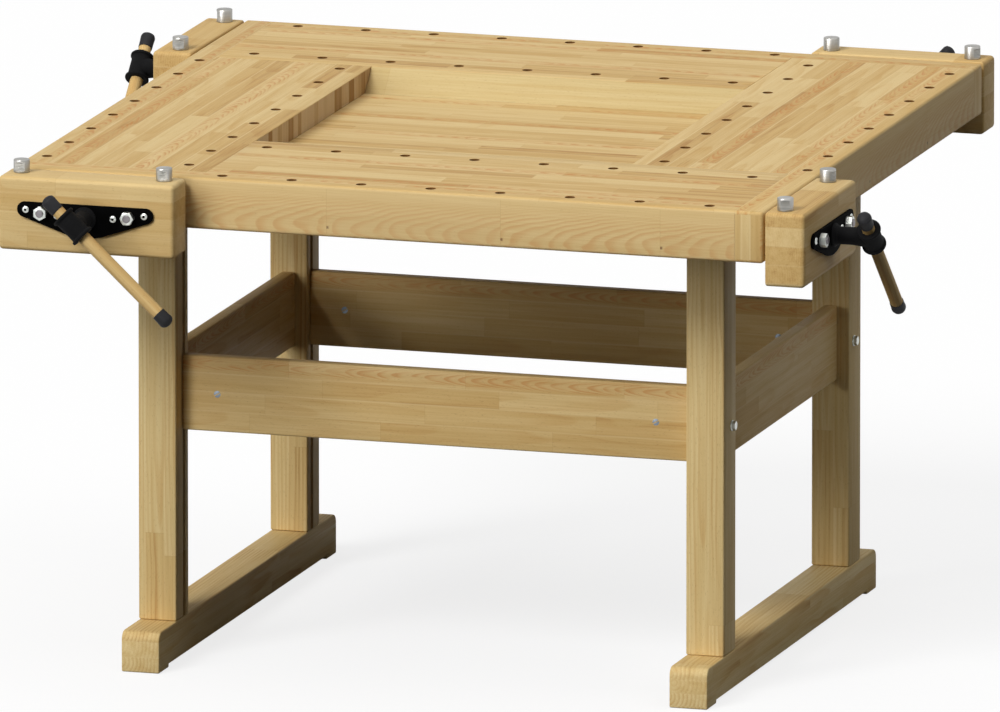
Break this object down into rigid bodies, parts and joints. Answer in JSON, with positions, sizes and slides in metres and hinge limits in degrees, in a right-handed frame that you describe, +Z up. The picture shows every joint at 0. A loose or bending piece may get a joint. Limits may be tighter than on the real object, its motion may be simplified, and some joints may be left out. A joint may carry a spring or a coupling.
{
  "type": "woodworking bench",
  "caption": "Square wooden workbench with a sunken tool well, rows of dog holes and a screw vise with guide rods and round dogs on each side.",
  "frame": {"origin": "on the floor, under the middle of the bench top", "axes": "+Z up, -Y towards the front long rail, +X to the right along the feet spacing"},
  "size_m": [1.5, 1.514, 0.8343],
  "materials": {
    "beech": "lacquered laminated beech",
    "bar_wood": "turned beech",
    "steel": "bright zinc",
    "black_steel": "satin black",
    "cast_iron": "charcoal coated",
    "rubber": "matt moulded"
  },
  "bodies": {
    "bench": {"apron_front": "beech", "board_front": "beech", "spindle_nut_front": "cast_iron", "apron_right": "beech", "board_right": "beech", "spindle_nut_right": "cast_iron", "apron_back": "beech", "board_back": "beech", "spindle_nut_back": "cast_iron", "apron_left": "beech", "board_left": "beech", "spindle_nut_left": "cast_iron", "well_tray": "beech", "foot_left": "beech", "end_rail_left": "beech", "leg_front_left": "beech", "leg_rear_left": "beech", "foot_right": "beech", "end_rail_right": "beech", "leg_front_right": "beech", "leg_rear_right": "beech", "long_rail_front": "beech", "long_rail_rear": "beech"},
    "vise_jaw_front": {"jaw_front": "beech", "screw_plate_front": "black_steel", "guide_rods_front": "steel"},
    "vise_spindle_front": {"spindle_front": "cast_iron"},
    "vise_handle_front": {"handle_bar_front": "bar_wood", "upper_cap_front": "rubber", "lower_cap_front": "rubber"},
    "dog_outer_front": {"outer_dog_front": "steel"},
    "dog_inner_front": {"inner_dog_front": "steel"},
    "vise_jaw_right": {"jaw_right": "beech", "screw_plate_right": "black_steel", "guide_rods_right": "steel"},
    "vise_spindle_right": {"spindle_right": "cast_iron"},
    "vise_handle_right": {"handle_bar_right": "bar_wood", "upper_cap_right": "rubber", "lower_cap_right": "rubber"},
    "dog_outer_right": {"outer_dog_right": "steel"},
    "dog_inner_right": {"inner_dog_right": "steel"},
    "vise_jaw_back": {"jaw_back": "beech", "screw_plate_back": "black_steel", "guide_rods_back": "steel"},
    "vise_spindle_back": {"spindle_back": "cast_iron"},
    "vise_handle_back": {"handle_bar_back": "bar_wood", "upper_cap_back": "rubber", "lower_cap_back": "rubber"},
    "dog_outer_back": {"outer_dog_back": "steel"},
    "dog_inner_back": {"inner_dog_back": "steel"},
    "vise_jaw_left": {"jaw_left": "beech", "screw_plate_left": "black_steel", "guide_rods_left": "steel"},
    "vise_spindle_left": {"spindle_left": "cast_iron"},
    "vise_handle_left": {"handle_bar_left": "bar_wood", "upper_cap_left": "rubber", "lower_cap_left": "rubber"},
    "dog_outer_left": {"outer_dog_left": "steel"},
    "dog_inner_left": {"inner_dog_left": "steel"}
  },
  "joints": [
    {"name": "jaw_slide_front", "type": "slide", "parent": "bench", "child": "vise_jaw_front", "axis": [0, -1, 0], "range_m": [-0.0095, 0.1005]},
    {"name": "spindle_turn_front", "type": "hinge", "parent": "vise_jaw_front", "child": "vise_spindle_front", "pos_m": [-0.459, -0.61, 0.756], "axis": [0, -1, 0], "range_deg": [-564, 6000]},
    {"name": "bar_slide_front", "type": "slide", "parent": "vise_spindle_front", "child": "vise_handle_front", "axis": [0.7314, 0, -0.682], "range_m": [-0.163, 0.0095]},
    {"name": "outer_dog_lift_front", "type": "slide", "parent": "vise_jaw_front", "child": "dog_outer_front", "axis": [0, 0, 1], "range_m": [0, 0.07]},
    {"name": "inner_dog_lift_front", "type": "slide", "parent": "vise_jaw_front", "child": "dog_inner_front", "axis": [0, 0, 1], "range_m": [0, 0.07]},
    {"name": "jaw_slide_right", "type": "slide", "parent": "bench", "child": "vise_jaw_right", "axis": [1, 0, 0], "range_m": [-0.0025, 0.1075]},
    {"name": "spindle_turn_right", "type": "hinge", "parent": "vise_jaw_right", "child": "vise_spindle_right", "pos_m": [0.603, -0.459, 0.756], "axis": [1, 0, 0], "range_deg": [-144, 6420]},
    {"name": "bar_slide_right", "type": "slide", "parent": "vise_spindle_right", "child": "vise_handle_right", "axis": [0, 0.7314, -0.682], "range_m": [-0.163, 0.0095]},
    {"name": "outer_dog_lift_right", "type": "slide", "parent": "vise_jaw_right", "child": "dog_outer_right", "axis": [0, 0, 1], "range_m": [0, 0.07]},
    {"name": "inner_dog_lift_right", "type": "slide", "parent": "vise_jaw_right", "child": "dog_inner_right", "axis": [0, 0, 1], "range_m": [0, 0.07]},
    {"name": "jaw_slide_back", "type": "slide", "parent": "bench", "child": "vise_jaw_back", "axis": [0, 1, 0], "range_m": [-0.0095, 0.1005]},
    {"name": "spindle_turn_back", "type": "hinge", "parent": "vise_jaw_back", "child": "vise_spindle_back", "pos_m": [0.459, 0.61, 0.756], "axis": [0, 1, 0], "range_deg": [-564, 6000]},
    {"name": "bar_slide_back", "type": "slide", "parent": "vise_spindle_back", "child": "vise_handle_back", "axis": [-0.7314, 0, -0.682], "range_m": [-0.152, 0.0205]},
    {"name": "outer_dog_lift_back", "type": "slide", "parent": "vise_jaw_back", "child": "dog_outer_back", "axis": [0, 0, 1], "range_m": [0, 0.07]},
    {"name": "inner_dog_lift_back", "type": "slide", "parent": "vise_jaw_back", "child": "dog_inner_back", "axis": [0, 0, 1], "range_m": [0, 0.07]},
    {"name": "jaw_slide_left", "type": "slide", "parent": "bench", "child": "vise_jaw_left", "axis": [-1, 0, 0], "range_m": [-0.0025, 0.1075]},
    {"name": "spindle_turn_left", "type": "hinge", "parent": "vise_jaw_left", "child": "vise_spindle_left", "pos_m": [-0.603, 0.459, 0.756], "axis": [-1, 0, 0], "range_deg": [-144, 6420]},
    {"name": "bar_slide_left", "type": "slide", "parent": "vise_spindle_left", "child": "vise_handle_left", "axis": [0, -0.7314, -0.682], "range_m": [-0.158, 0.0145]},
    {"name": "outer_dog_lift_left", "type": "slide", "parent": "vise_jaw_left", "child": "dog_outer_left", "axis": [0, 0, 1], "range_m": [0, 0.07]},
    {"name": "inner_dog_lift_left", "type": "slide", "parent": "vise_jaw_left", "child": "dog_inner_left", "axis": [0, 0, 1], "range_m": [0, 0.07]}
  ],
  "couplings": [
    {"joint": "jaw_slide_front", "follows": "spindle_turn_front", "m_per_rad": 0.00095493},
    {"joint": "jaw_slide_right", "follows": "spindle_turn_right", "m_per_rad": 0.00095493},
    {"joint": "jaw_slide_back", "follows": "spindle_turn_back", "m_per_rad": 0.00095493},
    {"joint": "jaw_slide_left", "follows": "spindle_turn_left", "m_per_rad": 0.00095493}
  ]
}
